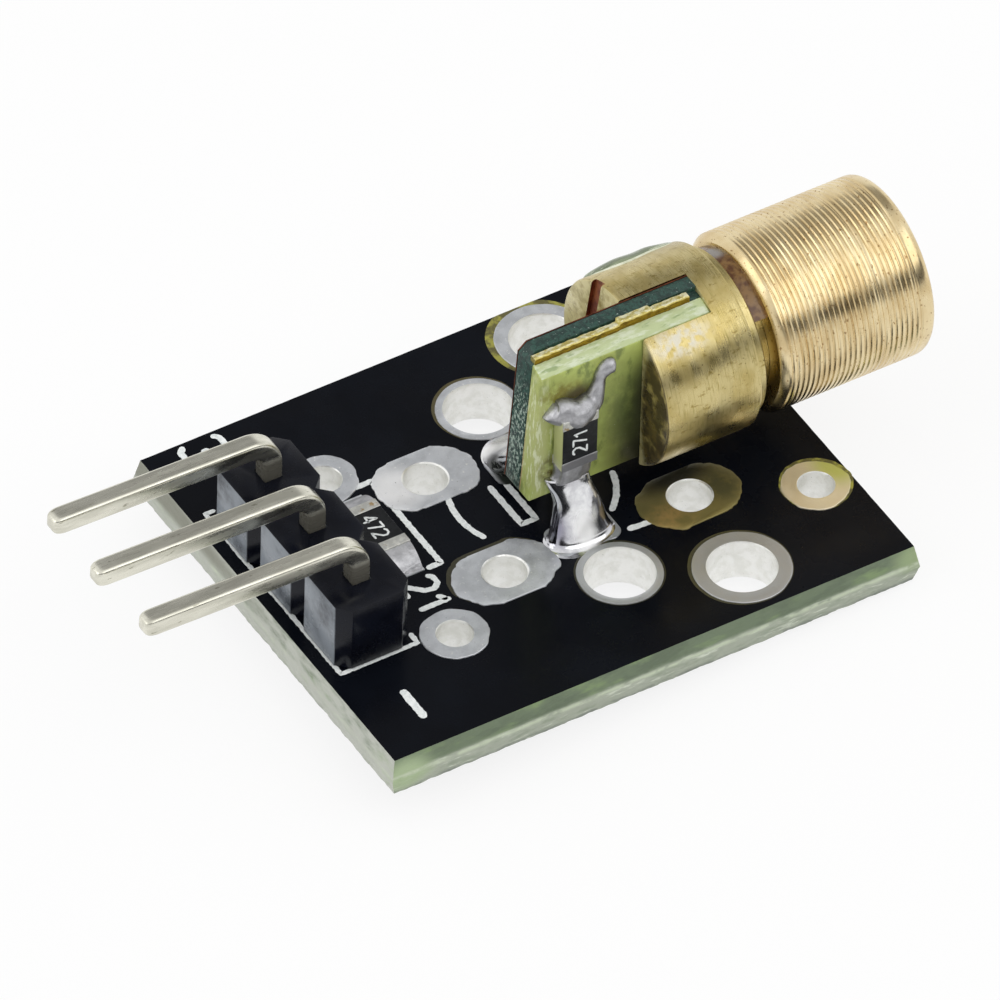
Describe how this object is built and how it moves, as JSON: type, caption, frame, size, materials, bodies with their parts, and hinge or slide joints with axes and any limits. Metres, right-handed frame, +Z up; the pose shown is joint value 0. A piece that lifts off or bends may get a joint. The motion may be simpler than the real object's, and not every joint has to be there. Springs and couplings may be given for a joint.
{
  "type": "laser diode module",
  "caption": "Small circuit board with a right-angle pin header and a brass laser head with a ribbed lens cap, held by an upright pair of boards soldered to it.",
  "frame": {"origin": "midway between the two mounting holes, on the underside of the circuit board", "axes": "+X the way the beam leaves, +Z up from the board's component side, +Y to the left of the beam"},
  "size_m": [0.0276, 0.0151, 0.0095],
  "materials": {
    "board_laminate": "glossy solder mask over glass-epoxy laminate",
    "tinned_copper": "hot-air levelled tin over copper, dull",
    "header_plastic": "moulded, satin",
    "pin_metal": "drawn brass, tin plated, satin",
    "solder": "reflowed and hand-soldered tin alloy, bright",
    "resistor_ceramic": "fired alumina",
    "resistor_coat": "printed resin coat",
    "resistor_terminal": "plated tin",
    "laser_board_laminate": "dark glass-epoxy laminate",
    "copper_foil": "rolled copper foil, tarnished",
    "gold_plate": "gold-plated contact",
    "laser_crystal": "cleaved semiconductor",
    "driver_board_laminate": "bare glass-epoxy laminate with flux stains",
    "housing_brass": "turned and sawn brass, satin",
    "cap_brass": "turned brass with fine rings, bright",
    "lens_plastic": "moulded optical plastic, clear",
    "spring_wire": "coiled steel wire",
    "thread_sealant": "cured thread sealant, translucent grey",
    "clear_glue": "cured clear glue"
  },
  "bodies": {
    "root": {"board_resistor_body": "resistor_ceramic", "board_resistor_coat": "resistor_coat", "board_resistor_solder": "solder", "board_resistor_terminals": "resistor_terminal", "chip_lands": "tinned_copper", "circuit_board": "board_laminate", "collimating_lens": "lens_plastic", "driver_board": "driver_board_laminate", "driver_resistor_body": "resistor_ceramic", "driver_resistor_coat": "resistor_coat", "driver_resistor_solder": "solder", "driver_resistor_terminals": "resistor_terminal", "edge_contact": "gold_plate", "far_solder_fillet": "solder", "fillet_lands": "tinned_copper", "glue_bead": "clear_glue", "grid_hole_plating": "tinned_copper", "header_body": "header_plastic", "header_hole_plating": "tinned_copper", "header_pin_far": "pin_metal", "header_pin_middle": "pin_metal", "header_pin_near": "pin_metal", "header_solder": "solder", "laser_board": "laser_board_laminate", "laser_board_foil": "copper_foil", "laser_die": "laser_crystal", "laser_housing": "housing_brass", "lens_cap": "cap_brass", "lens_spring": "spring_wire", "middle_hole_plating": "tinned_copper", "mounting_hole_plating": "tinned_copper", "near_solder_fillet": "solder", "oval_hole_plating": "tinned_copper", "thread_sealant": "thread_sealant"}
  },
  "joints": []
}
